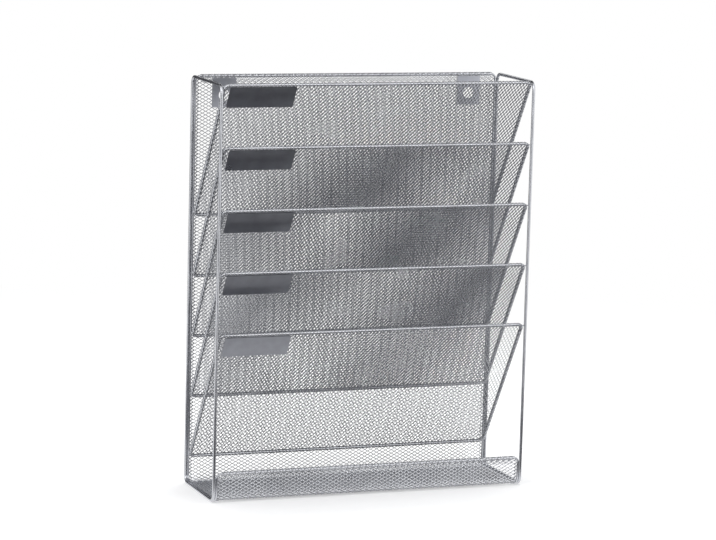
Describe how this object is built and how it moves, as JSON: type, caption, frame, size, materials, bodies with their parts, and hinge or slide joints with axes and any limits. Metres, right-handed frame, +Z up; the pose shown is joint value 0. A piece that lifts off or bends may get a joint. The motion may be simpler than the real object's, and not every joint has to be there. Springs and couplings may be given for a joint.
{
  "type": "periodical display rack",
  "caption": "Slim wire and diamond-mesh rack with slanted pockets, label plates and a bottom tray, for showing magazines on a desk or wall.",
  "frame": {"origin": "on the floor, under the middle of the rack", "axes": "+X to the right as a reader faces the rack, +Y back to the wall, +Z up"},
  "size_m": [0.32, 0.093, 0.4],
  "materials": {
    "wire": "silver-grey metallic lacquer on round steel wire, satin with soft highlights",
    "mesh": "silver-grey metallic lacquer on diamond expanded steel, satin",
    "plate": "silver-grey metallic lacquer on flat sheet steel, satin"
  },
  "bodies": {
    "root": {"side_loop_left": "wire", "side_loop_right": "wire", "back_and_tray_frame": "wire", "back_and_tray_mesh": "mesh", "pocket_frame_1": "wire", "pocket_mesh_1": "mesh", "label_plate_1": "plate", "pocket_frame_2": "wire", "pocket_mesh_2": "mesh", "label_plate_2": "plate", "pocket_frame_3": "wire", "pocket_mesh_3": "mesh", "label_plate_3": "plate", "pocket_frame_4": "wire", "pocket_mesh_4": "mesh", "label_plate_4": "plate", "pocket_frame_5": "wire", "pocket_mesh_5": "mesh", "label_plate_5": "plate", "pocket_welds": "wire", "hanger_plate_left": "plate", "hanger_plate_right": "plate"}
  },
  "joints": []
}
